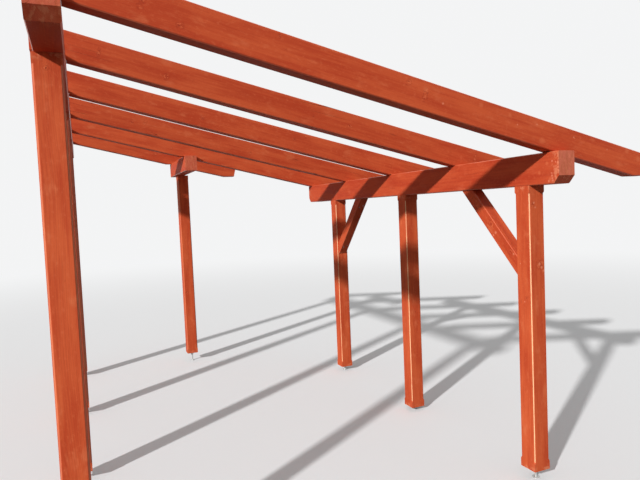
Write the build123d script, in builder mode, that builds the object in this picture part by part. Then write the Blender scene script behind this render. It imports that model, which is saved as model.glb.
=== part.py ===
from build123d import *
from math import atan, cos, hypot, radians, sin, sqrt, tan
import os

os.makedirs("parts", exist_ok=True)

# Driving sizes in mm

# Timber sections
post = 140.0
beam_h = 215.0
side_beam_h = 180.0
rafter_w = 100.0
rafter_h = 180.0
brace_t = 100.0

# Heights, head_room is the front beam's underside above the floor
head_room = 2140.0
front_gap_1 = 75.0
front_gap_2 = 37.0
front_gap_3 = 56.0
side_gap = 116.0
house_gap = 75.0

# Lengths that each brace takes up under the beam and down its post
brace_out = 634.0
brace_drop = 662.0

# Roof slope, and how the rafters' lower face lies to the top of each beam at its house side
slope = 13.2
front_seat_cut = 3.0
house_seat_rise = 3.0
side_seat_cut = 14.0
heel_play = 1.0

# The first rafter's front notch is shallower, so it lies a little flatter than the others
first_rise = 10.0

# Plan across the rows, measured from the house side face of the front posts
span = 2920.0
side_beam_set = 1680.0
side_post_shift = 42.0
house_post_shift = -10.0
rafter_back = 60.0
tail_reach = 917.0
tail_cut = 135.0
short_end = 795.0

# Plan along the rows, measured from the near face of the first post
second_post = 1620.0
third_post = 3218.0
last_row = 4760.0
near_overhang = 270.0
far_overhang = 702.0
house_overhang = 500.0
last_overhang = 200.0
side_overhang = 877.0
first_rafter = 209.0
rafter_pitch = 1038.0
rafter_count = 6

# Cuts on the timbers
bevel_rise = 53.0
bevel_run = 46.0
arris = 5.0
post_chamfer = 11.0
stop_top = 44.0
stop_foot = 58.0
stop_run = 12.0

# Pin feet
head_plate = 100.0
head_round = 6.0
head_thick = 5.0
collar_r = 19.0
collar_h = 9.0
pin_r = 10.0
disc_r = 27.0
disc_thick = 4.0

# Values that follow from the sizes above
beam_w = post
pitch = tan(radians(slope))
house_back = -span - beam_w
tail_length = rafter_h - tail_cut * sin(radians(slope))
front_x = -(house_back - rafter_back + tail_reach + tail_length * sin(radians(slope))) / 2
near_y = -(last_row + post + last_overhang - house_overhang) / 2
beam_top = head_room + beam_h
low_line = beam_top - front_seat_cut
house_top = low_line - pitch * house_back - house_seat_rise
side_top = low_line + pitch * side_beam_set + side_seat_cut
brace_inset = (post - brace_t) / 2


def save(piece, label):
    piece.part.label = label
    export_step(piece.part, f"parts/{label}.step")


# Posts, square timbers with a stopped chamfer on every upright arris
rows = (0.0, second_post, third_post, last_row)
posts = []
for n, gap in enumerate((front_gap_1, front_gap_2, front_gap_3)):
    posts.append((f"front_post_{n + 1}", f"front_foot_{n + 1}", 0.0, rows[n], gap, head_room))
side_x = side_post_shift - side_beam_set
house_x = house_post_shift + house_back
posts.append(("side_post", "side_foot", side_x, last_row, side_gap, side_top - side_beam_h))
for n, y in enumerate(rows, 1):
    posts.append((f"house_post_{n}", f"house_foot_{n}", house_x, y, house_gap, house_top - beam_h))

for label, foot, x, y, bottom, top in posts:
    mid = (front_x + x + post / 2, near_y + y + post / 2)
    with BuildPart() as timber:
        with BuildSketch(Plane.XY.offset(bottom)):
            with Locations(mid):
                Rectangle(post, post)
        extrude(amount=top - bottom)
        depth = post_chamfer / sqrt(2)
        low = bottom + stop_foot
        high = top - stop_top
        for sx, sy in ((1, 1), (1, -1), (-1, 1), (-1, -1)):
            corner = (mid[0] + sx * post / 2, mid[1] + sy * post / 2, 0)
            with BuildSketch(Plane(origin=corner, x_dir=(sx, sy, 0), z_dir=(sy, -sx, 0))):
                with BuildLine():
                    Polyline(
                        (depth, low - stop_run),
                        (-depth, low + stop_run),
                        (-depth, high - stop_run),
                        (depth, high + stop_run),
                        close=True,
                    )
                make_face()
            extrude(amount=post_chamfer, both=True, mode=Mode.SUBTRACT)
    save(timber, label)

# Pin feet, a plate under the post, a collar, a round pin and a disc on the floor
for label, foot, x, y, bottom, top in posts:
    mid = (front_x + x + post / 2, near_y + y + post / 2)
    with BuildPart() as pin_foot:
        with BuildSketch(Plane.XY):
            with Locations(mid):
                Circle(disc_r)
        extrude(amount=disc_thick)
        with BuildSketch(Plane.XY.offset(disc_thick)):
            with Locations(mid):
                Circle(pin_r)
        extrude(amount=bottom - head_thick - disc_thick)
        with BuildSketch(Plane.XY.offset(bottom - head_thick - collar_h)):
            with Locations(mid):
                Circle(collar_r)
        extrude(amount=collar_h)
        with BuildSketch(Plane.XY.offset(bottom - head_thick)):
            with Locations(mid):
                RectangleRounded(head_plate, head_plate, head_round)
        extrude(amount=head_thick)
    save(pin_foot, foot)

# Front beam and house beam, level, with the lower corners of both ends cut back
beams = (
    ("front_beam", 0.0, -near_overhang, third_post + post + far_overhang, head_room),
    ("house_beam", house_back, -house_overhang, last_row + post + last_overhang, house_top - beam_h),
)
for label, x, near_end, far_end, bottom in beams:
    y0 = near_y + near_end
    y1 = near_y + far_end
    with BuildPart() as beam:
        with BuildSketch(Plane.YZ.offset(front_x + x)):
            with BuildLine():
                Polyline(
                    (y0, bottom + beam_h),
                    (y0, bottom + bevel_rise),
                    (y0 + bevel_run, bottom),
                    (y1 - bevel_run, bottom),
                    (y1, bottom + bevel_rise),
                    (y1, bottom + beam_h),
                    close=True,
                )
            make_face()
        extrude(amount=beam_w)
        chamfer(beam.edges().filter_by(Axis.Y), arris)
    save(beam, label)

# Side beam, square ended, under the last two rafters
side_length = side_overhang + post + last_overhang
with BuildPart() as side_beam:
    with BuildSketch(Plane.YZ.offset(front_x - side_beam_set)):
        with Locations((near_y + last_row - side_overhang + side_length / 2, side_top - side_beam_h / 2)):
            Rectangle(side_length, side_beam_h)
    extrude(amount=beam_w)
    chamfer(side_beam.edges().filter_by(Axis.Y), arris)
save(side_beam, "side_beam")

# Braces, mitred plumb against the post and level under the front beam
braces = (
    ("front_brace_near", post, 1),
    ("front_brace_far", third_post, -1),
)
brace_length = hypot(brace_out, brace_drop)
spring = head_room - brace_drop
shoulder = spring + brace_t * brace_length / brace_out
inner_out = brace_out - brace_t * brace_length / brace_drop
for label, y, side in braces:
    foot_y = near_y + y
    with BuildPart() as brace:
        with BuildSketch(Plane.YZ.offset(front_x + brace_inset)):
            with BuildLine():
                Polyline(
                    (foot_y, spring),
                    (foot_y, shoulder),
                    (foot_y + side * inner_out, head_room),
                    (foot_y + side * brace_out, head_room),
                    close=True,
                )
            make_face()
        extrude(amount=brace_t)
        chamfer(brace.edges().filter_by(Axis((0, 0, 0), (0, side * brace_out, brace_drop))), arris)
    save(brace, label)

# Rafters, plumb at the head, with a level seat and a plumb heel on each beam, and a level cut under the tail
head = house_back - rafter_back
for n in range(rafter_count):
    y = near_y - first_rafter + n * rafter_pitch
    low = low_line + (first_rise if n == 0 else 0.0)
    fall = (low_line - pitch * house_back - low) / -house_back
    run = cos(atan(fall))
    rise = sin(atan(fall))
    tail = tail_reach if n < rafter_count - 1 else -short_end
    cut = tail - tail_cut
    end = rafter_h - tail_cut * rise
    seats = [(house_back, house_top)]
    if n < rafter_count - 1:
        seats.append((0.0, beam_top))
    if n >= rafter_count - 2:
        seats.append((-side_beam_set, side_top))
    with BuildPart() as rafter:
        with BuildSketch(Plane.XZ.offset(-y)):
            with BuildLine():
                Polyline(
                    (front_x + head, low - fall * head),
                    (front_x + cut, low - fall * cut),
                    (front_x + tail, low - fall * cut),
                    (front_x + tail + end * rise, low - fall * cut + end * run),
                    (front_x + head, low - fall * head + rafter_h / run),
                    close=True,
                )
            make_face()
        extrude(amount=-rafter_w)
        chamfer(rafter.edges().filter_by(lambda e: abs(e.tangent_at(0).X) > run / 2), arris)
        for beam_x, seat in seats:
            heel = beam_x + beam_w + heel_play
            start = (low - seat) / fall
            with BuildSketch(Plane.XZ.offset(-y)):
                with BuildLine():
                    Polyline(
                        (front_x + start, seat),
                        (front_x + heel, seat),
                        (front_x + heel, low - fall * heel - arris),
                        (front_x + start - arris, low - fall * (start - arris) - arris),
                        (front_x + start - arris, seat),
                        close=True,
                    )
                make_face()
            extrude(amount=-rafter_w, mode=Mode.SUBTRACT)
    save(rafter, f"rafter_{n + 1}")
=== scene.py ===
import bmesh
import bpy
from math import cos, pi, radians, sin
from mathutils import Matrix, Vector
from random import Random


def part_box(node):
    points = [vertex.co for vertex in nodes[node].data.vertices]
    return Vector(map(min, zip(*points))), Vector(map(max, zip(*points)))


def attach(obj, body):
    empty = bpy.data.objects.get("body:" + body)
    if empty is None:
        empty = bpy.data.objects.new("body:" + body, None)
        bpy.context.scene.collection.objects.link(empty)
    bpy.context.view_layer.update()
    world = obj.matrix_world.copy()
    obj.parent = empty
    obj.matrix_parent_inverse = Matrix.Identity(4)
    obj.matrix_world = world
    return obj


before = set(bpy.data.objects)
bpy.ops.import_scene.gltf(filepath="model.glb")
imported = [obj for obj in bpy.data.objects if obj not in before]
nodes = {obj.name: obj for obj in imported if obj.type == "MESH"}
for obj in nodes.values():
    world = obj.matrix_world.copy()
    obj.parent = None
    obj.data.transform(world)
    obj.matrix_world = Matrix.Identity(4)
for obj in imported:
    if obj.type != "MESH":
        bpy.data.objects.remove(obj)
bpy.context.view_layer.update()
posts = sorted(n for n in nodes if "post" in n)
rafters = sorted(n for n in nodes if n.startswith("rafter"))
feet = sorted(n for n in nodes if "foot" in n)


# Colours are written as they look, from 0 to 255
def colour(red, green, blue):
    shares = [value / 255 for value in (red, green, blue)]
    return tuple(s / 12.92 if s < 0.04045 else ((s + 0.055) / 1.055) ** 2.4 for s in shares) + (1.0,)


stain = colour(191, 69, 36)
stain_pale = colour(213, 92, 51)
# Pale blooms in the stain, also used as painted highlights on the knots' curls
stain_bloom_and_highlight = colour(224, 116, 74)
stain_deep = colour(152, 49, 28)
stain_knot = colour(146, 48, 30)
stain_gap = colour(70, 22, 14)
end_grain = colour(228, 138, 108)
end_brown = colour(206, 126, 92)
# Pale bare wood on the chamfers, made lighter still as a painted highlight of sun on them
bare_edge_and_glint = colour(250, 209, 158)
rubbed_edge = colour(218, 112, 76)
weathered = colour(228, 136, 98)
# Small pale specks, some of them painted glints
pale_speck_and_glint = colour(236, 140, 106)
zinc_dull = colour(196, 197, 196)
zinc_bright = colour(218, 219, 216)
zinc_bloom = colour(230, 229, 221)
rust = colour(118, 74, 48)


# Shares holds one number each for red, green and blue
def lighter(base, shares):
    return tuple(min(1.0, channel * share) for channel, share in zip(base, shares)) + (1.0,)


# Small helpers for shader nodes, where a value is a number, a vector or another node's socket
def feed(tree, socket, value):
    if isinstance(value, bpy.types.NodeSocket):
        tree.links.new(value, socket)
    else:
        socket.default_value = value


def add(tree, kind, values=None, **settings):
    made = tree.nodes.new("ShaderNode" + kind)
    for key, value in settings.items():
        setattr(made, key, value)
    for key, value in (values or {}).items():
        feed(tree, made.inputs[key], value)
    return made


def reckon(tree, operation, *values):
    return add(tree, "Math", dict(enumerate(values)), operation=operation).outputs[0]


def plus(tree, one, other):
    return reckon(tree, "ADD", one, other)


def minus(tree, one, other):
    return reckon(tree, "SUBTRACT", one, other)


def over(tree, one, other):
    return reckon(tree, "DIVIDE", one, other)


def times(tree, one, *others):
    for other in others:
        one = reckon(tree, "MULTIPLY", one, other)
    return one


def times_plus(tree, one, by, more):
    return reckon(tree, "MULTIPLY_ADD", one, by, more)


# The long side of a right angled triangle
def slant(tree, one, other):
    return reckon(tree, "SQRT", plus(tree, times(tree, one, one), times(tree, other, other)))


def vector(tree, operation, *values):
    made = add(tree, "VectorMath", dict(enumerate(values)), operation=operation)
    return made.outputs["Value" if operation == "LENGTH" else "Vector"]


def split(tree, value):
    return add(tree, "SeparateXYZ", {0: value}).outputs


def ramp(tree, value, low, high, start=0.0, end=1.0):
    values = {0: value, 1: low, 2: high, 3: start, 4: end}
    return add(tree, "MapRange", values, interpolation_type="SMOOTHSTEP").outputs[0]


def mix(tree, share, under, over_it):
    return add(tree, "Mix", {0: share, 6: under, 7: over_it}, data_type="RGBA").outputs[2]


# Noise from 0 to 1. Stretch is about how many waves it has in a metre along each axis
def noise(tree, place, stretch, detail=2.0, rough=0.5):
    moved = vector(tree, "MULTIPLY", place, stretch)
    values = {"Vector": moved, "Scale": 1.0, "Detail": detail, "Roughness": rough}
    return add(tree, "TexNoise", values).outputs[0]


# The same noise, to both sides of nought
def wander(tree, place, stretch, detail=2.0, rough=0.5):
    return minus(tree, noise(tree, place, stretch, detail, rough), 0.5)


# Every timber has its own part of the noise, which its turn picks
def own_part(tree, place, turn):
    shift = add(tree, "CombineXYZ", {0: turn, 1: turn, 2: turn}).outputs[0]
    return vector(tree, "ADD", place, shift)


# A node group with named vectors and numbers that go in and numbers that come out
def group(name, vectors, numbers, gives):
    tree = bpy.data.node_groups.new(name, "ShaderNodeTree")
    for label in vectors:
        tree.interface.new_socket(label, in_out="INPUT", socket_type="NodeSocketVector")
    for label in numbers:
        tree.interface.new_socket(label, in_out="INPUT", socket_type="NodeSocketFloat")
    for label in gives:
        tree.interface.new_socket(label, in_out="OUTPUT", socket_type="NodeSocketFloat")
    return tree, tree.nodes.new("NodeGroupInput").outputs, tree.nodes.new("NodeGroupOutput").inputs


def use(tree, made_group, **values):
    made = tree.nodes.new("ShaderNodeGroup")
    made.node_tree = made_group
    for key, value in values.items():
        feed(tree, made.inputs[key], value)
    return made.outputs


# In every timber's own axes the first is along the grain, the second across it and the third out of
# the side that is seen most. Lengths are in metres, and a distance to a knot is in its radii
ring_width = 0.0052
knot_spacing = 0.42
knots_round = 3
widest_knot = 0.014
nowhere_near = 9.0


# Knots where branches leave the heart of the log. Near is the distance to the closest one
def branch_knots():
    tree, take, give = group("Branch knots", ("Place", "Heart"), ("Turn", "Spacing"), ("Near",))
    along, side, face = split(tree, vector(tree, "SUBTRACT", take["Place"], take["Heart"]))
    angle = reckon(tree, "ARCTAN2", side, face)
    away = slant(tree, side, face)
    step = plus(tree, over(tree, along, take["Spacing"]), take["Turn"])
    turned = plus(tree, times(tree, angle, knots_round / (2 * pi)), take["Turn"])
    cell = add(tree, "CombineXYZ", {0: step, 1: turned}).outputs[0]
    cells = add(tree, "TexVoronoi", {"Vector": cell, "Scale": 1.0}, voronoi_dimensions="2D").outputs
    branch = split(tree, cells["Position"])
    chance = split(tree, cells["Color"])
    run = times(tree, minus(tree, step, branch[0]), take["Spacing"])
    arc = times(tree, minus(tree, turned, branch[1]), 2 * pi / knots_round, away)
    grown = reckon(tree, "MINIMUM", times_plus(tree, away, 0.09, 0.004), widest_knot)
    size = times(tree, grown, times_plus(tree, chance[0], 0.9, 0.4))
    there = reckon(tree, "GREATER_THAN", chance[1], 0.66)
    open_side = ramp(tree, reckon(tree, "ABSOLUTE", angle), pi - 0.4, pi - 0.15, 1.0, 0.0)
    radius = times_plus(tree, times(tree, size, there), open_side, 0.0004)
    near = over(tree, slant(tree, run, arc), radius)
    feed(tree, give["Near"], reckon(tree, "MINIMUM", near, nowhere_near))
    return tree


# One knot at a place of its own, unless the one before it is nearer
def set_knot():
    tree, take, give = group("Set knot", ("Place", "Middle"), ("Radius", "Near"), ("Near",))
    gap = vector(tree, "LENGTH", vector(tree, "SUBTRACT", take["Place"], take["Middle"]))
    near = over(tree, gap, take["Radius"])
    feed(tree, give["Near"], reckon(tree, "MINIMUM", near, take["Near"]))
    return tree


# Growth rings round the heart, pulled out of line by the knots, with fibres, patches and drying checks
def spruce_grain():
    gives = ("Late", "Fibre", "Patch", "Streak", "Mottle", "Bloom", "Check", "Knot", "Rim", "Swirl highlight", "Height")
    tree, take, give = group("Spruce grain", ("Place", "Heart"), ("Turn", "Ring", "Near"), gives)
    place = own_part(tree, take["Place"], take["Turn"])

    # The knots' outlines are lobed and ragged, not round
    ragged = wander(tree, place, (45.0, 90.0, 90.0), 3.0, 0.6)
    lobes = wander(tree, place, (22.0, 60.0, 60.0), 1.0)
    near = times_plus(tree, lobes, 2.2, times_plus(tree, ragged, 0.9, take["Near"]))

    # Rings of uneven width, each with a line of late wood
    along, side, face = split(tree, vector(tree, "SUBTRACT", take["Place"], take["Heart"]))
    away = slant(tree, side, face)
    closeness = reckon(tree, "EXPONENT", times(tree, near, near, -0.3))
    lean = wander(tree, place, (0.9, 1.5, 1.5), 1.0)
    fine_lean = wander(tree, place, (5.0, 26.0, 26.0), 1.0)
    for pull, strength in ((closeness, 0.011), (along, 0.004), (lean, 0.06), (fine_lean, 0.003)):
        away = times_plus(tree, pull, strength, away)
    years = add(tree, "CombineXYZ", {0: away, 1: take["Turn"]}).outputs[0]
    away = times_plus(tree, wander(tree, years, (70.0, 1.0, 1.0)), 0.012, away)
    phase = reckon(tree, "FRACT", over(tree, away, take["Ring"]))
    late = times(tree, ramp(tree, phase, 0.35, 0.9), ramp(tree, phase, 0.94, 1.0, 1.0, 0.0))

    # How the stain takes, from fine fibres to broad blooms
    fibre = noise(tree, place, (9.0, 420.0, 420.0), 3.0, 0.6)
    patch = noise(tree, place, (2.1, 11.0, 11.0), 3.0, 0.55)
    streak = noise(tree, place, (2.6, 75.0, 75.0), 4.0, 0.6)
    mottle = noise(tree, place, (38.0, 62.0, 62.0), 4.0, 0.62)
    bloom = noise(tree, place, (7.0, 15.0, 15.0), 3.0, 0.6)

    # Long drying checks, in some places only
    split_line = reckon(tree, "ABSOLUTE", wander(tree, place, (0.7, 17.0, 17.0), 0.0))
    cracked = ramp(tree, noise(tree, place, (1.7, 5.0, 5.0), 1.0), 0.61, 0.68)
    check = times(tree, ramp(tree, split_line, 0.0015, 0.005, 1.0, 0.0), cracked)

    # Curls round the knots, pale on one side and dark on the other. The pale side is a painted highlight of
    # the raised rings, the dark side the knot's own darker wood
    pale = ramp(tree, ragged, -0.06, 0.08)
    dark = minus(tree, 1.0, pale)
    turns = reckon(tree, "PINGPONG", times_plus(tree, ragged, 1.3, times(tree, near, 0.8)), 0.5)
    swirl_highlight = times(tree, ramp(tree, turns, 0.26, 0.42), ramp(tree, near, 0.9, 1.9, 1.0, 0.0), pale)
    inner = ramp(tree, near, 0.7, 1.3, 1.0, 0.0)
    knot = times(tree, ramp(tree, turns, 0.15, 0.35, 1.0, 0.0), inner, dark)
    rim = times(tree, ramp(tree, near, 0.6, 0.9), ramp(tree, near, 0.95, 1.25, 1.0, 0.0), dark)

    height = times(tree, fibre, 0.3)
    for mask, rise in ((late, 0.18), (knot, 0.5), (rim, -0.5), (check, -1.4)):
        height = times_plus(tree, mask, rise, height)
    values = (late, fibre, patch, streak, mottle, bloom, check, knot, rim, swirl_highlight, height)
    for label, value in zip(gives, values):
        feed(tree, give[label], value)
    return tree


# Worn arrises and bare chamfers. The bare chamfer mask also carries a painted highlight along the chamfers.
# Half holds half the timber's two sides across the grain
def arris_wear():
    takes = ("Place", "Facing", "Half"), ("Width", "Turn")
    tree, take, give = group("Arris wear", *takes, ("Wear", "Chamfer", "Bare and glint"))
    width = take["Width"]
    left = split(tree, vector(tree, "SUBTRACT", take["Half"], vector(tree, "ABSOLUTE", take["Place"])))
    inside = reckon(tree, "MAXIMUM", left[1], left[2])
    place = own_part(tree, take["Place"], take["Turn"])
    broken = wander(tree, place, (26.0, 120.0, 120.0), 3.0, 0.6)
    ragged = times_plus(tree, broken, 0.008, inside)
    wear = ramp(tree, ragged, times(tree, width, 0.75), times(tree, width, 1.35), 1.0, 0.0)
    feed(tree, give["Wear"], wear)
    faces = split(tree, vector(tree, "ABSOLUTE", take["Facing"]))
    chamfer = ramp(tree, times(tree, faces[1], faces[2]), 0.39, 0.46)
    feed(tree, give["Chamfer"], chamfer)
    frayed = over(tree, times_plus(tree, broken, 0.0016, inside), width)
    uncovered = ramp(tree, noise(tree, place, (3.1, 1.0, 1.0)), 0.36, 0.5, 0.62, 1.0)
    bare_and_glint = times(tree, ramp(tree, frayed, 0.86, 1.06, 1.0, 0.0), uncovered, chamfer)
    feed(tree, give["Bare and glint"], bare_and_glint)
    return tree


# Sawn ends, with bands, radial drying checks, and pale weathered streaks beside them.
# A slanting cut, such as a bevel, is partly an end and keeps more stain
def sawn_end():
    takes = ("Place", "Facing", "Heart"), ("Length", "Reach", "Turn")
    tree, take, give = group("Sawn end", *takes, ("End", "Split", "Weathered", "Band"))
    square = ramp(tree, reckon(tree, "ABSOLUTE", split(tree, take["Facing"])[0]), 0.6, 0.95)
    feed(tree, give["End"], square)
    around = split(tree, vector(tree, "SUBTRACT", take["Place"], take["Heart"]))
    angle = reckon(tree, "ARCTAN2", around[1], around[2])
    ray = add(tree, "CombineXYZ", {0: angle, 1: take["Turn"]}).outputs[0]
    open_ray = ramp(tree, noise(tree, ray, (9.0, 3.0, 1.0), 2.0, 0.7), 0.66, 0.7)
    broken = ramp(tree, noise(tree, take["Place"], (8.0, 30.0, 30.0)), 0.4, 0.6)
    feed(tree, give["Split"], times(tree, open_ray, square, broken))
    run = split(tree, take["Place"])[0]
    from_end = reckon(tree, "MINIMUM", run, minus(tree, take["Length"], run))
    close = ramp(tree, over(tree, from_end, take["Reach"]), 0.1, 1.0, 1.0, 0.0)
    place = own_part(tree, take["Place"], take["Turn"])
    streak = ramp(tree, noise(tree, place, (30.0, 42.0, 19.0), 4.0, 0.65), 0.5, 0.62)
    feed(tree, give["Weathered"], times(tree, close, times_plus(tree, square, -0.6, 1.0), streak))
    feed(tree, give["Band"], noise(tree, place, (5.0, 55.0, 12.0), 3.0, 0.6))
    return tree


# Zinc on the steel, with its crystals, white bloom and brown stains near the floor
def zinc_coat():
    tree, take, give = group("Zinc coat", ("Place",), (), ("Crystal", "Bloom", "Rust"))
    place = take["Place"]
    cells = add(tree, "TexVoronoi", {"Vector": place, "Scale": 160.0}).outputs
    feed(tree, give["Crystal"], split(tree, cells["Color"])[0])
    feed(tree, give["Bloom"], ramp(tree, noise(tree, place, (45.0, 45.0, 45.0), 4.0, 0.6), 0.5, 0.72))
    low = ramp(tree, split(tree, place)[2], 0.004, 0.05, 1.0, 0.0)
    spread = ramp(tree, noise(tree, place, (70.0, 70.0, 40.0), 4.0, 0.65), 0.5, 0.66)
    feed(tree, give["Rust"], times(tree, spread, times_plus(tree, low, 0.75, 0.12)))
    return tree


knots_at_random = branch_knots()
knot_by_hand = set_knot()
grain = spruce_grain()
arris = arris_wear()
ends = sawn_end()
zinc = zinc_coat()


def new_material(name):
    made = bpy.data.materials.new(name)
    made.use_nodes = True
    tree = made.node_tree
    return made, tree, tree.nodes["Principled BSDF"]


def finish_bump(tree, shader, height, strength, distance):
    bump = add(tree, "Bump", {"Height": height, "Strength": strength, "Distance": distance})
    feed(tree, shader.inputs["Normal"], bump.outputs[0])


# The places of knots, small pale specks and pale blooms that show on the nearest timbers, with their radii.
# Some specks are painted glints, and the blooms on rafter_1 are partly painted patches of sunlight
knots = {
    "front_post_1": [
        ((1.18, -2.3, 1.578), 0.034),
        ((1.115, -2.3, 2.01), 0.016),
        ((1.085, -2.254, 1.337), 0.015),
        ((1.085, -2.203, 1.305), 0.008),
    ],
    "front_brace_near": [
        ((1.105, -1.875, 1.87), 0.026),
        ((1.105, -2.09, 1.66), 0.022),
    ],
    "rafter_1": [
        ((-1.308, -2.509, 2.963), 0.017),
        ((1.295, -2.509, 2.446), 0.013),
        ((-0.005, -2.509, 2.756), 0.016),
    ],
    "rafter_2": [
        ((-1.231, -1.471, 2.961), 0.018),
        ((0.119, -1.471, 2.66), 0.016),
    ],
    "rafter_3": [
        ((-0.784, -0.433, 2.874), 0.018),
        ((0.062, -0.433, 2.701), 0.017),
    ],
    "rafter_4": [
        ((-1.15, 0.605, 2.987), 0.02),
        ((-0.065, 0.605, 2.684), 0.019),
    ],
    "rafter_6": [
        ((0.159, 2.681, 2.683), 0.018),
        ((-0.801, 2.681, 2.897), 0.018),
    ],
}
specks_and_glints = {
    "front_beam": [
        ((1.084, -2.514, 2.291), 0.008),
        ((1.084, -2.562, 2.278), 0.009),
        ((1.084, -2.565, 2.249), 0.011),
        ((1.084, -2.566, 2.225), 0.008),
        ((1.084, -2.51, 2.211), 0.008),
        ((1.084, -2.511, 2.194), 0.01),
        ((1.084, -2.514, 2.178), 0.01),
        ((1.084, -2.517, 2.163), 0.008),
        ((1.084, -2.482, 2.159), 0.008),
        ((1.084, -2.543, 2.284), 0.007),
    ],
    "front_post_1": [
        ((1.084, -2.203, 1.584), 0.006),
        ((1.168, -2.3, 1.583), 0.012),
        ((1.187, -2.3, 1.556), 0.013),
        ((1.203, -2.3, 1.53), 0.01),
        ((1.126, -2.3, 2.018), 0.009),
        ((1.139, -2.3, 1.986), 0.009),
        ((1.084, -2.235, 1.31), 0.007),
    ],
    "front_brace_near": [
        ((1.105, -1.925, 1.801), 0.013),
        ((1.105, -1.899, 1.78), 0.01),
        ((1.105, -2.113, 1.647), 0.01),
    ],
    "rafter_1": [
        ((1.29, -2.509, 2.45), 0.007),
        ((0.801, -2.509, 2.526), 0.006),
        ((0.966, -2.509, 2.53), 0.006),
        ((0.229, -2.509, 2.641), 0.008),
        ((1.603, -2.509, 2.368), 0.005),
    ],
}
blooms_and_lit_patches = {
    "front_beam": [
        ((1.084, -2.47, 2.28), 0.013),
        ((1.084, -2.545, 2.31), 0.01),
        ((1.084, -2.4, 2.22), 0.013),
        ((1.084, -2.495, 2.175), 0.013),
    ],
    "rafter_1": [
        ((1.006, -2.509, 2.425), 0.022),
        ((1.802, -2.509, 2.358), 0.02),
        ((1.915, -2.509, 2.301), 0.02),
        ((0.111, -2.509, 2.721), 0.018),
        ((0.514, -2.509, 2.641), 0.016),
        ((0.742, -2.509, 2.585), 0.014),
    ],
}

# Widths of the small arrises and of the posts' chamfers, and tints of red, green and blue
arris_width = 0.005
chamfer_width = 0.0078
plain_tint = (1.0, 1.0, 1.0)
post_tint = (1.0, 1.1, 1.12)
beam_tint = (1.0, 0.92, 0.96)


# A timber's own axes, the middle of its first end, and its length and two sides
def timber_axes(label, run, front):
    run = Vector(run).normalized()
    front = Vector(front).normalized()
    side = front.cross(run)
    corners = [v.co for v in nodes[label].data.vertices]
    spans = []
    for axis in (run, side, front):
        reaches = [c.dot(axis) for c in corners]
        spans.append((min(reaches), max(reaches)))
    start = run * spans[0][0] + side * sum(spans[1]) / 2 + front * sum(spans[2]) / 2
    return (run, side, front), start, [high - low for low, high in spans]


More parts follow.
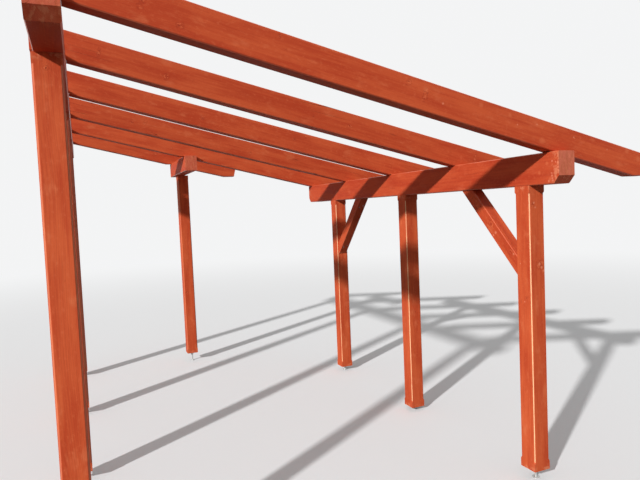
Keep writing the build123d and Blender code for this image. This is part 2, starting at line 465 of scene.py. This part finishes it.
# Red brown stain on spruce. Run is the way of the grain, front the side that is seen most, heart where
# the middle of the log lies, reach how far the weather has come in from the ends
def stained_timber(
    label, run, front, heart, turn, tone=1.0, tint=plain_tint,
    edge_wear_and_glint=rubbed_edge, edge_and_glint_share=0.5, edge_width=arris_width, reach=0.05, end_share=0.65,
):
    axes, start, (length, wide, thick) = timber_axes(label, run, front)
    angles = Matrix(axes).transposed().to_euler("XYZ")
    half = (0.0, wide / 2, thick / 2)
    heart = (0.0, *heart)
    shares = tuple(tone * share for share in tint)
    made, tree, shader = new_material("stain_" + label)
    points = add(tree, "TexCoord").outputs["Object"]
    moved = {"Vector": points, "Location": start, "Rotation": angles}
    place = add(tree, "Mapping", moved, vector_type="TEXTURE").outputs[0]
    turned = {"Vector": add(tree, "NewGeometry").outputs["Normal"], "Rotation": angles}
    facing = add(tree, "Mapping", turned, vector_type="TEXTURE").outputs[0]

    def toned(base):
        return lighter(base, shares)

    def nearest(spots, near):
        for at, radius in spots:
            offset = Vector(at) - start
            middle = tuple(offset.dot(axis) for axis in axes)
            near = use(tree, knot_by_hand, Place=place, Middle=middle, Radius=radius, Near=near)["Near"]
        return near

    near = use(tree, knots_at_random, Place=place, Heart=heart, Turn=turn, Spacing=knot_spacing)["Near"]
    near = nearest(knots.get(label, ()), near)
    wood = use(tree, grain, Place=place, Heart=heart, Turn=turn, Ring=ring_width, Near=near)
    worn = use(tree, arris, Place=place, Facing=facing, Half=half, Width=edge_width, Turn=turn)
    cut = use(tree, ends, Place=place, Facing=facing, Heart=heart, Length=length, Reach=reach, Turn=turn)

    # Layers of colour, each laid over the ones before it as far as its mask goes
    shade = times_plus(tree, wood["Streak"], 0.35, times(tree, wood["Patch"], 0.65))
    paint = mix(tree, ramp(tree, shade, 0.36, 0.64), toned(stain), toned(stain_pale))
    sawn = mix(tree, ramp(tree, cut["Band"], 0.38, 0.6), toned(end_brown), toned(end_grain))
    sawn = mix(tree, times(tree, wood["Late"], 0.35), sawn, toned(stain_deep))
    layers = [
        (ramp(tree, wood["Bloom"], 0.55, 0.74, 0.0, 0.5), toned(stain_bloom_and_highlight)),
        (ramp(tree, wood["Mottle"], 0.52, 0.78, 0.0, 0.4), toned(stain_bloom_and_highlight)),
        (ramp(tree, wood["Mottle"], 0.22, 0.42, 0.3, 0.0), toned(stain_deep)),
        (times(tree, wood["Late"], 0.15), toned(stain_deep)),
        (ramp(tree, wood["Fibre"], 0.3, 0.75, 0.0, 0.13), toned(stain_deep)),
        (times(tree, wood["Knot"], 0.6), stain_knot),
        # Pale curls round the knots, a painted highlight
        (times(tree, wood["Swirl highlight"], 0.65), toned(stain_bloom_and_highlight)),
        (times(tree, wood["Rim"], 0.3), stain_knot),
        (times(tree, cut["End"], end_share), sawn),
        (times(tree, cut["Weathered"], 0.75), weathered),
        (times(tree, worn["Wear"], 0.3), rubbed_edge),
        # Pale chamfer strips: bare wood, with a painted highlight on the posts
        (times(tree, worn["Bare and glint"], edge_and_glint_share), edge_wear_and_glint),
    ]
    # Pale blooms and specks at their listed places; some are painted glints and painted patches of sunlight
    for spots, soft, share, spot_colour in ((blooms_and_lit_patches, 2.2, 0.45, stain_bloom_and_highlight), (specks_and_glints, 2.0, 0.7, pale_speck_and_glint)):
        if label in spots:
            gap = times_plus(tree, wood["Mottle"], 1.5, nearest(spots[label], nowhere_near))
            layers.append((times(tree, ramp(tree, gap, 1.0, soft, 1.0, 0.0), share), spot_colour))
    gaps = reckon(tree, "MAXIMUM", wood["Check"], cut["Split"])
    layers.append((times(tree, gaps, 0.8), stain_gap))
    for mask, layer in layers:
        paint = mix(tree, mask, paint, layer)
    feed(tree, shader.inputs["Base Color"], paint)

    # Satin on the faces, duller on the ends and glossier on the chamfers
    rough = ramp(tree, shade, 0.35, 0.65, 0.6, 0.7)
    for mask, more in ((wood["Fibre"], 0.1), (cut["End"], 0.15), (worn["Chamfer"], -0.25)):
        rough = times_plus(tree, mask, more, rough)
    feed(tree, shader.inputs["Roughness"], rough)
    feed(tree, shader.inputs["Coat Weight"], times_plus(tree, worn["Chamfer"], 0.3, 0.03))
    shader.inputs["Coat Roughness"].default_value = 0.25
    shader.inputs["Specular IOR Level"].default_value = 0.14
    finish_bump(tree, shader, wood["Height"], 0.5, 0.0009)
    for slot in nodes[label].material_slots:
        slot.material = made


# Zinc coated steel. Thread is the pitch of a cut screw thread, or nought on a plain piece
def coated_steel(name, thread=0.0, tone=1.0):
    shares = (tone, tone, tone)
    made, tree, shader = new_material(name)
    points = add(tree, "TexCoord").outputs["Object"]
    coat = use(tree, zinc, Place=points)
    crystal = ramp(tree, coat["Crystal"], 0.0, 1.0)
    paint = mix(tree, crystal, lighter(zinc_dull, shares), lighter(zinc_bright, shares))
    paint = mix(tree, times(tree, coat["Bloom"], 0.5), paint, lighter(zinc_bloom, shares))
    paint = mix(tree, times(tree, coat["Rust"], 0.9), paint, rust)
    feed(tree, shader.inputs["Base Color"], paint)
    feed(tree, shader.inputs["Metallic"], times_plus(tree, coat["Rust"], -0.3, 0.4))
    rough = times_plus(tree, coat["Bloom"], 0.2, 0.42)
    feed(tree, shader.inputs["Roughness"], times_plus(tree, coat["Rust"], 0.3, rough))
    height = times(tree, coat["Crystal"], 0.15)
    if thread:
        turns = over(tree, split(tree, points)[2], thread)
        height = plus(tree, height, reckon(tree, "PINGPONG", turns, 0.5))
    finish_bump(tree, shader, height, 0.7, 0.0012)
    return made


# Timbers, each with its own heart, tone and part of the noise
draw = Random(29)
slope = radians(13.2)
down_slope = (cos(slope), 0.0, -sin(slope))
under_slope = (-sin(slope), 0.0, -cos(slope))
upright = (0.0, 0.0, 1.0)
along_beams = (0.0, 1.0, 0.0)
underside = (0.0, 0.0, -1.0)
house_side = (-1.0, 0.0, 0.0)

for label in posts:
    heart = (draw.uniform(-0.09, 0.09), draw.choice((-1, 1)) * draw.uniform(0.045, 0.1))
    turn, tone = draw.uniform(0, 40), draw.uniform(1.06, 1.14)
    # The front posts' chamfers take nearly the full pale colour as a painted highlight, the other posts only
    # a little
    stained_timber(
        label, upright, house_side, heart, turn, tone, post_tint,
        edge_wear_and_glint=bare_edge_and_glint, edge_and_glint_share=0.95 if "front" in label else 0.2, edge_width=chamfer_width,
    )

for label in ("front_beam", "house_beam", "side_beam"):
    heart = (draw.choice((-1, 1)) * draw.uniform(0.03, 0.07), draw.uniform(-0.08, 0.08))
    turn, tone = draw.uniform(0, 40), draw.uniform(0.92, 1.0)
    stained_timber(
        label, along_beams, underside, heart, turn, tone, beam_tint,
        reach=0.11, end_share=0.65 if "front" in label else 0.4,
    )

for label in rafters:
    heart = (draw.uniform(-0.03, 0.03), draw.choice((-1, 1)) * draw.uniform(0.06, 0.12))
    turn, tone = draw.uniform(0, 40), draw.uniform(0.96, 1.04)
    stained_timber(label, down_slope, under_slope, heart, turn, tone)

low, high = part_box("front_brace_near")
out, rise = high.y - low.y, high.z - low.z
stained_timber("front_brace_near", (0.0, out, rise), house_side, (0.05, 0.03), 5.3, edge_and_glint_share=0.25)
stained_timber("front_brace_far", (0.0, -out, rise), house_side, (-0.06, 0.02), 8.1, edge_and_glint_share=0.25)

steel = coated_steel("foot_zinc", thread=0.0025)
screw_steel = coated_steel("screw_zinc", tone=0.4)
for label in feet:
    for slot in nodes[label].material_slots:
        slot.material = steel


# A finished piece, with its place in its mesh
def piece(name, mesh, material):
    mesh.normal_update()
    data = bpy.data.meshes.new(name)
    mesh.to_mesh(data)
    mesh.free()
    data.materials.append(material)
    made = bpy.data.objects.new(name, data)
    bpy.context.scene.collection.objects.link(made)
    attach(made, "root")


nut_points = 24
nut_rounding = 0.1


# A hexagon nut with rounded off corners and a bore that fits the pin
def hexagon_nut(name, middle, bottom, across, bore, high):
    nut = bmesh.new()
    outer = bmesh.ops.create_circle(nut, segments=nut_points, radius=across / 2)["verts"]
    for v in outer:
        from_flat = (Vector((1, 0)).angle_signed(v.co.xy) + pi / 6) % (pi / 3) - pi / 6
        v.co *= 1 / cos(from_flat)
    bmesh.ops.create_circle(nut, segments=nut_points, radius=bore)
    ring = bmesh.ops.bridge_loops(nut, edges=nut.edges[:])["faces"]
    raised = bmesh.ops.extrude_face_region(nut, geom=ring)["geom"]
    top = [v for v in raised if isinstance(v, bmesh.types.BMVert)]
    bmesh.ops.translate(nut, verts=top, vec=(0, 0, high))
    bmesh.ops.recalc_face_normals(nut, faces=nut.faces[:])
    level = [e for e in nut.edges if abs(e.verts[0].co.z - e.verts[1].co.z) < 1e-6]
    rims = [e for e in level if len(e.link_faces) == 2 and abs(e.calc_face_angle(0)) > 1]
    bmesh.ops.bevel(
        nut, geom=rims, offset=high * nut_rounding, affect="EDGES", segments=2, profile=0.5, material=-1,
    )
    bmesh.ops.translate(nut, verts=nut.verts[:], vec=(*middle, bottom))
    piece(name, nut, steel)


# A screw head's sizes, all in shares of its radius. A step goes inwards and then up
head_sides = 12
neck = 0.7
head_high = 0.4
head_sunk = 0.12
head_steps = ((0.05, 0.07), (0.22, 0.05), (0.3, 0.02))
lobe, hollow = 1.12, 0.8
recess_wall, recess_deep = 0.02, 0.2


# Timber screws with a disc head and a six lobed recess, on a face that looks along out
def screws(name, places, out, radius):
    heads = bmesh.new()
    tilt = Vector((0, 0, 1)).rotation_difference(Vector(out)).to_matrix().to_4x4()
    for at in places:
        before = len(heads.verts)
        disc = bmesh.ops.create_cone(
            heads, cap_ends=True, segments=head_sides,
            radius1=radius * neck, radius2=radius, depth=radius * head_high,
        )["verts"]
        bmesh.ops.translate(heads, verts=disc, vec=(0, 0, -radius * head_sunk))
        face = max({f for v in disc for f in v.link_faces}, key=lambda f: f.calc_center_median().z)
        for inwards, up in head_steps:
            bmesh.ops.inset_region(heads, faces=[face], thickness=radius * inwards, depth=radius * up)
        for number, v in enumerate(face.verts):
            v.co.xy *= lobe if number % 2 else hollow
        bmesh.ops.inset_region(
            heads, faces=[face], thickness=radius * recess_wall, depth=-radius * recess_deep,
        )
        heads.verts.ensure_lookup_table()
        bmesh.ops.transform(heads, verts=heads.verts[before:], matrix=Matrix.Translation(at) @ tilt)
    bmesh.ops.recalc_face_normals(heads, faces=heads.faces[:])
    piece(name, heads, screw_steel)


# Radii of the heads, and how far the screws of a pair stand from its middle. A pair is skewed, so that
# its screws don't split one line of the grain
timber_head, brace_head, plate_head = 0.011, 0.007, 0.006
rafter_apart, post_apart, brace_apart, plate_apart = 0.024, 0.03, 0.02, 0.036
rafter_skew, brace_skew = 1.5, 0.6
brace_ends = (0.14, 0.86)

# Screws down through each rafter into the beams that it crosses
for label in rafters:
    corners = [v.co for v in nodes[label].data.vertices]
    head = max(corners, key=lambda c: c.z)
    tail = max(corners, key=lambda c: c.x)
    top = (tail.z - head.z) / (tail.x - head.x)
    low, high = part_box(label)
    places = []
    for beam in ("house_beam", "side_beam", "front_beam"):
        near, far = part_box(beam)
        if near.y < low.y and high.y < far.y and far.x < high.x:
            for side in (-rafter_apart, rafter_apart):
                x = (near.x + far.x) / 2 + side * rafter_skew
                places.append((x, (low.y + high.y) / 2 + side, head.z + top * (x - head.x)))
    screws(label + "_screws", places, (-top, 0.0, 1.0), timber_head)

# Screws down through the beams into the posts
for beam, row in (("front_beam", "front_post"), ("house_beam", "house_post"), ("side_beam", "side_post")):
    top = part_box(beam)[1].z
    places = []
    for post in (n for n in posts if n.startswith(row)):
        low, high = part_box(post)
        for side in (-post_apart, post_apart):
            places.append(((low.x + high.x) / 2 + side, (low.y + high.y) / 2 + side, top))
    screws(beam + "_screws", places, upright, timber_head)

# Screws up through the braces, two near each end
for label, way in (("front_brace_near", 1), ("front_brace_far", -1)):
    low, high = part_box(label)
    foot = Vector(((low.x + high.x) / 2, low.y if way > 0 else high.y, low.z))
    rise = Vector((0.0, way * (high.y - low.y), high.z - low.z))
    out = Vector((0.0, rise.z, -rise.y)) * way
    places = []
    for share in brace_ends:
        for side in (-brace_apart, brace_apart):
            places.append(foot + rise * (share + side * brace_skew) + Vector((side, 0.0, 0.0)))
    screws(label + "_screws", places, out, brace_head)

# Nuts on the pins, and four screws under each plate
nut_across, nut_high, nut_below_plate = 0.030, 0.016, 0.030
pin_bore = 0.0101
plate_thick = 0.005
for label in feet:
    low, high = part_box(label)
    middle = ((low.x + high.x) / 2, (low.y + high.y) / 2)
    hexagon_nut(label + "_nut", middle, high.z - nut_below_plate, nut_across, pin_bore, nut_high)
    corners = [(a * plate_apart, b * plate_apart) for a in (-1, 1) for b in (-1, 1)]
    places = [(middle[0] + x, middle[1] + y, high.z - plate_thick) for x, y in corners]
    screws(label + "_screws", places, underside, plate_head)


# Pale floor that fades into the backdrop far from the object
backdrop = (0.9, 0.905, 0.91, 1.0)
floor_seen = (0.88, 0.88, 0.88, 1.0)
floor_unseen = (0.1, 0.1, 0.1, 1.0)
floor_half = 60.0
fade_from, fade_to = 6.0, 20.0
sky_light = 0.45


def seen_directly(tree):
    paths = add(tree, "LightPath").outputs
    seen = reckon(tree, "MAXIMUM", paths["Is Camera Ray"], paths["Is Glossy Ray"])
    return reckon(tree, "MAXIMUM", seen, paths["Is Transmission Ray"])


def studio_floor():
    grid = bmesh.new()
    bmesh.ops.create_grid(grid, x_segments=1, y_segments=1, size=floor_half)
    data = bpy.data.meshes.new("studio_floor")
    grid.to_mesh(data)
    grid.free()
    made, tree, shader = new_material("studio_floor")
    tree.nodes.remove(shader)
    seen = seen_directly(tree)
    matt = add(tree, "BsdfDiffuse", {"Color": mix(tree, seen, floor_unseen, floor_seen)}).outputs[0]
    glow = add(tree, "Emission", {"Color": backdrop}).outputs[0]
    points = add(tree, "TexCoord").outputs["Object"]
    far = ramp(tree, vector(tree, "LENGTH", points), fade_from, fade_to)
    blend = add(tree, "MixShader", {0: times(tree, far, seen), 1: matt, 2: glow})
    tree.links.new(blend.outputs[0], tree.nodes["Material Output"].inputs["Surface"])
    data.materials.append(made)
    floor = bpy.data.objects.new("studio_floor", data)
    bpy.context.scene.collection.objects.link(floor)


def studio_world():
    world = bpy.data.worlds.new("studio")
    bpy.context.scene.world = world
    world.use_nodes = True
    tree = world.node_tree
    sky = tree.nodes["Background"]
    sky.inputs["Color"].default_value = backdrop
    feed(tree, sky.inputs["Strength"], times_plus(tree, seen_directly(tree), 1 - sky_light, sky_light))


# Power is in watts on a square metre, and softness is the lamp's width in degrees
def key_light(toward, power, softness):
    data = bpy.data.lights.new("key", "SUN")
    data.energy = power
    data.angle = radians(softness)
    made = bpy.data.objects.new("key", data)
    made.rotation_euler = Vector(toward).to_track_quat("-Z", "Y").to_euler()
    bpy.context.scene.collection.objects.link(made)


# Camera at the photograph's place, turned so that its own axes point right, up and back
def camera():
    data = bpy.data.cameras.new("view")
    data.sensor_width = 36.0
    data.lens = 31.35
    stand = (-1.81717, -5.31868, 2.03934)
    right = (0.91734575, -0.39570245, -0.04354701)
    up = (0.06184102, 0.03358725, 0.99752072)
    back = (-0.39325877, -0.91776438, 0.05528176)
    made = bpy.data.objects.new("view", data)
    made.matrix_world = Matrix.Translation(stand) @ Matrix((right, up, back)).transposed().to_4x4()
    bpy.context.scene.collection.objects.link(made)
    bpy.context.scene.camera = made


studio_floor()
studio_world()
key_light(toward=(1.0, 0.65, -0.56), power=3.45, softness=2.0)
camera()
bpy.context.scene.view_settings.view_transform = "Standard"
